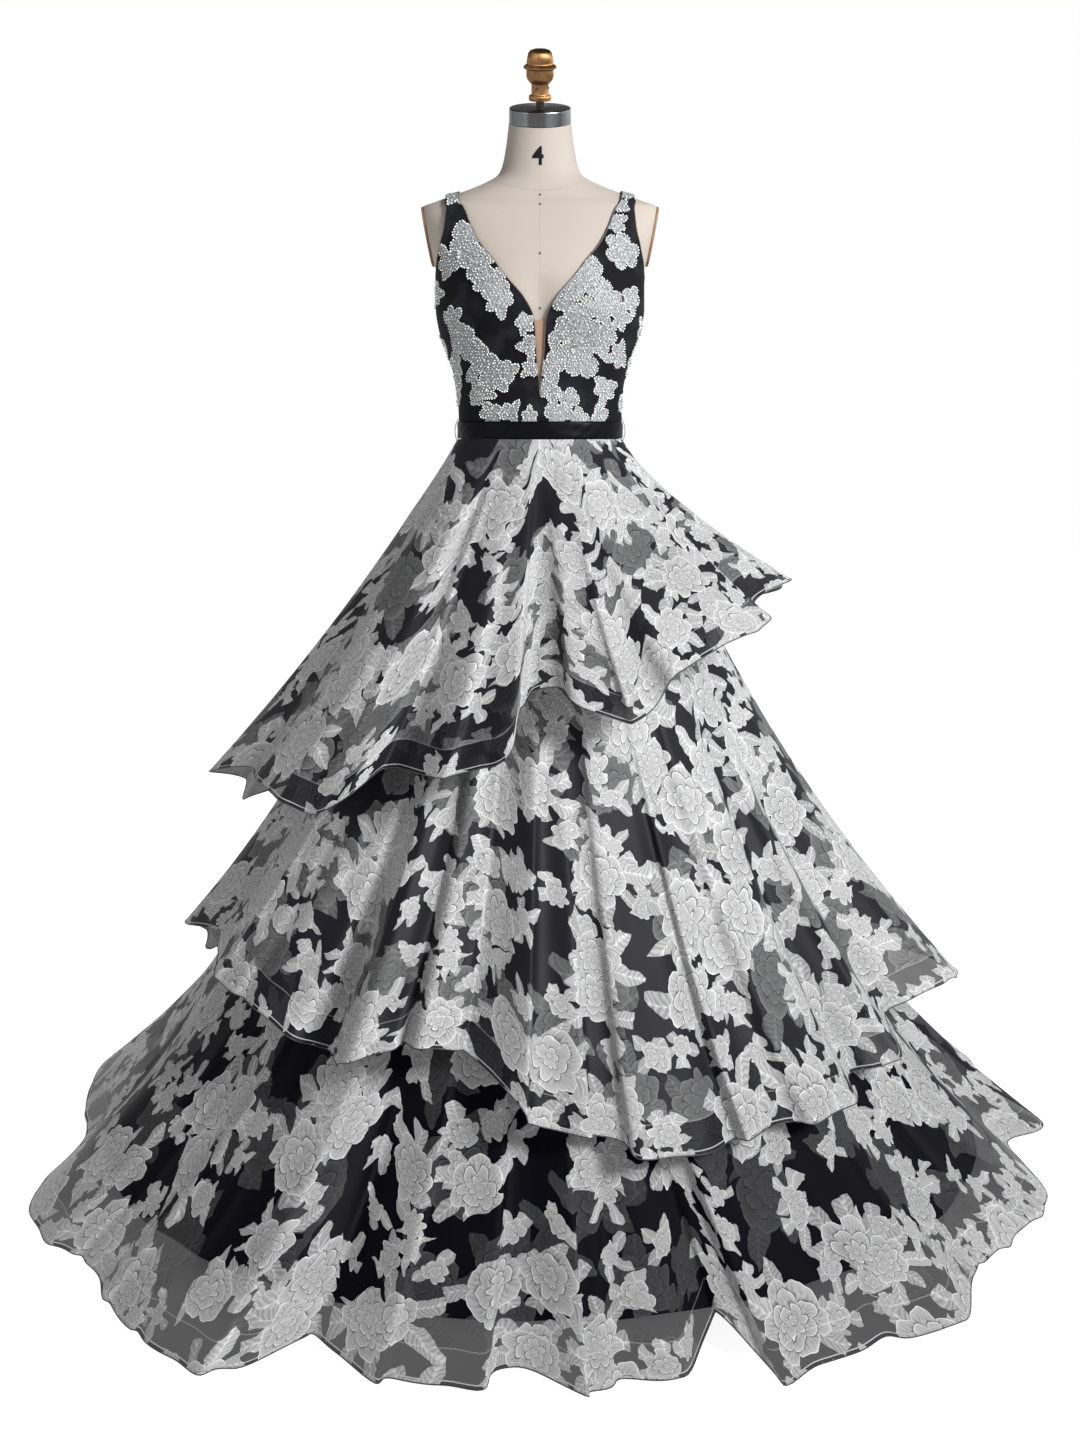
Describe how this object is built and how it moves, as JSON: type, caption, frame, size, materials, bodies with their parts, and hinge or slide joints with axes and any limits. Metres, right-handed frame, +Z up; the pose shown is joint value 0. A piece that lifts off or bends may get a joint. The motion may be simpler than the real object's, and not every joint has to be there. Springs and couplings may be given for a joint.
{
  "type": "prom dress on a dress form",
  "caption": "Floor-length gown with a beaded V-neck bodice, satin belt and slanted sheer tiers printed with flowers, on a limbless dress form with a pole and a round base.",
  "frame": {"origin": "middle of the stand's underside, on the floor", "axes": "+Z up; the front of the dress faces -Y; +X is the wearer's left"},
  "size_m": [1.607, 1.6842, 1.6869],
  "materials": {
    "linen": "cream linen stretched over the form",
    "arm_board": "brown covered board",
    "brushed_steel": "brushed",
    "old_brass": "aged, satin",
    "stand_paint": "black satin paint",
    "bodice_velvet": "black velvet with raised beaded flowers",
    "nude_mesh": "fine skin-toned mesh",
    "belt_satin": "black satin",
    "lining_satin": "plain black lining",
    "printed_organza": "sheer black organza printed with pale grey and white flowers"
  },
  "bodies": {
    "root": {"form_torso": "linen", "arm_plate_left": "arm_board", "arm_plate_right": "arm_board", "neck_cap": "brushed_steel", "finial": "old_brass", "stand_pole": "stand_paint", "stand_base": "stand_paint", "bodice_front_left": "bodice_velvet", "bodice_front_right": "bodice_velvet", "bodice_back_left": "bodice_velvet", "bodice_back_right": "bodice_velvet", "mesh_insert": "nude_mesh", "waist_belt": "belt_satin", "skirt_lining": "lining_satin", "skirt_tier_1": "printed_organza", "skirt_tier_2": "printed_organza", "skirt_tier_3": "printed_organza"}
  },
  "joints": []
}
